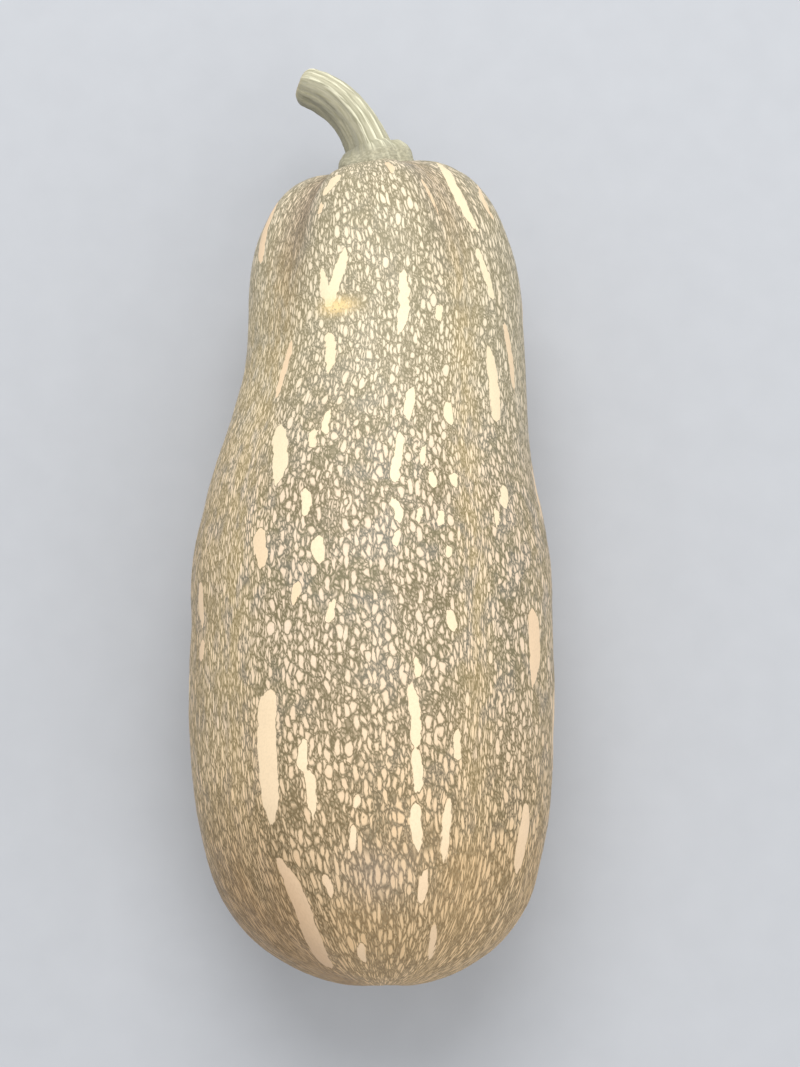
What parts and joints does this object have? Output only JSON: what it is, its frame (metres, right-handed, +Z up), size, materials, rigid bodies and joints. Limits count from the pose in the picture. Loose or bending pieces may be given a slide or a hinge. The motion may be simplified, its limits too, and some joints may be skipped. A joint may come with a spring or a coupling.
{
  "type": "butternut squash",
  "caption": "Long mottled butternut squash with a wide neck, shallow lobes and a curved dried stem, lying on its side.",
  "frame": {"origin": "on the surface the squash lies on, under the middle of its bounding box", "axes": "+Y runs from the blossom end to the crown and the stem, +Z is up, and the stem bends towards -X"},
  "size_m": [0.1428, 0.3812, 0.1414],
  "materials": {
    "mottled_skin": "waxy ripe rind, cream flecks in an olive green net, satin",
    "dried_stalk": "dried ridged stalk, dull olive yellow"
  },
  "bodies": {
    "root": {"squash_fruit": "mottled_skin", "stem": "dried_stalk"}
  },
  "joints": []
}
